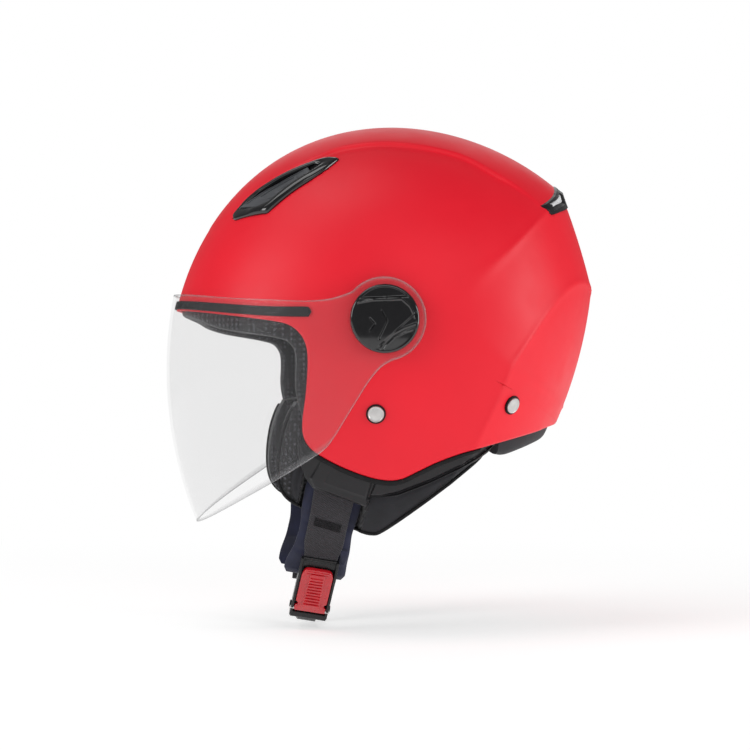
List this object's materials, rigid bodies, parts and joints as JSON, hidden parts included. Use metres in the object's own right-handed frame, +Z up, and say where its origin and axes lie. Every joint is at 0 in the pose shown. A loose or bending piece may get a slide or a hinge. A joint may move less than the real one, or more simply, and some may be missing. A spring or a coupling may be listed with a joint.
{
  "type": "motorcycle helmet",
  "caption": "Open-face motorcycle helmet with a long clear pivoting visor, padded lining, crown and rear air vents, and a padded chin strap with a quick-release buckle.",
  "frame": {"origin": "midpoint of the visor's pivot axis, inside the space for the head", "axes": "front is -Y, the wearer's left is +X, up is +Z"},
  "size_m": [0.2632, 0.2965, 0.3432],
  "materials": {
    "red_shell": "matte red paint",
    "foam": "moulded black foam",
    "lining_fabric": "black mesh cloth",
    "black_plastic": "satin black",
    "rubber": "soft black",
    "grey_plastic": "satin dark grey",
    "silver_plastic": "silver paint",
    "steel": "satin",
    "webbing": "woven black webbing",
    "navy_pad": "soft navy cloth",
    "gloss_black": "high gloss",
    "clear_visor": "clear polycarbonate",
    "red_lever": "satin red"
  },
  "bodies": {
    "shell": {"outer_shell": "red_shell", "impact_foam": "foam", "crown_lining": "lining_fabric", "opening_roll": "lining_fabric", "neck_roll": "lining_fabric", "cheek_pad_left": "lining_fabric", "cheek_pad_right": "lining_fabric", "rear_vent_frame": "black_plastic", "side_skirt_left": "black_plastic", "side_skirt_right": "black_plastic", "front_vent_frame_left": "black_plastic", "front_vent_frame_right": "black_plastic", "pivot_base_left": "black_plastic", "pivot_base_right": "black_plastic", "brow_seal": "rubber", "edge_seal_left": "rubber", "edge_seal_right": "rubber", "rivet_washer_front_left": "rubber", "rivet_washer_front_right": "rubber", "rivet_washer_rear_left": "rubber", "rivet_washer_rear_right": "rubber", "rear_vent_grille_left": "silver_plastic", "rear_vent_grille_right": "silver_plastic", "rivet_front_left": "steel", "rivet_front_right": "steel", "rivet_rear_left": "steel", "rivet_rear_right": "steel", "pivot_screw_left": "steel", "pivot_screw_right": "steel", "pivot_nut_left": "steel", "pivot_nut_right": "steel", "strap_leg_front_left": "webbing", "strap_leg_front_right": "webbing", "strap_leg_rear_left": "webbing", "strap_leg_rear_right": "webbing"},
    "visor": {"visor": "clear_visor"},
    "pivot_cover_left": {"pivot_cover_left": "gloss_black"},
    "pivot_cover_right": {"pivot_cover_right": "gloss_black"},
    "front_vent_slider_left": {"front_vent_slider_left": "grey_plastic"},
    "front_vent_slider_right": {"front_vent_slider_right": "grey_plastic"},
    "chin_strap": {"strap_left": "webbing", "strap_right": "webbing", "strap_pad_left": "navy_pad", "strap_pad_right": "navy_pad", "buckle_frame": "black_plastic", "buckle_pin": "steel", "tongue": "black_plastic"},
    "buckle_lever": {"buckle_lever": "red_lever"}
  },
  "joints": [
    {"name": "visor_hinge", "type": "hinge", "parent": "shell", "child": "visor", "pos_m": [0, 0, 0], "axis": [-1, 0, 0], "range_deg": [0, 70]},
    {"name": "pivot_cover_left_turn", "type": "hinge", "parent": "shell", "child": "pivot_cover_left", "pos_m": [0.129, 0, 0], "axis": [1, 0, 0], "range_deg": [0, 45]},
    {"name": "pivot_cover_right_turn", "type": "hinge", "parent": "shell", "child": "pivot_cover_right", "pos_m": [-0.129, 0, 0], "axis": [-1, 0, 0], "range_deg": [0, 45]},
    {"name": "front_vent_left_slide", "type": "slide", "parent": "shell", "child": "front_vent_slider_left", "axis": [0.1318, 0.8418, 0.5234], "range_m": [0, 0.008]},
    {"name": "front_vent_right_slide", "type": "slide", "parent": "shell", "child": "front_vent_slider_right", "axis": [-0.1318, 0.8418, 0.5234], "range_m": [0, 0.008]},
    {"name": "chin_strap_swing", "type": "hinge", "parent": "shell", "child": "chin_strap", "pos_m": [0, -0.0275, -0.104], "axis": [1, 0, 0], "range_deg": [-10, 10]},
    {"name": "buckle_lever_lift", "type": "hinge", "parent": "chin_strap", "child": "buckle_lever", "pos_m": [0.03201, -0.04307, -0.19704], "axis": [0, 0.9863, -0.165], "range_deg": [0, 35], "stiffness_Nm_per_rad": 0.02, "springref_deg": -17.19}
  ]
}
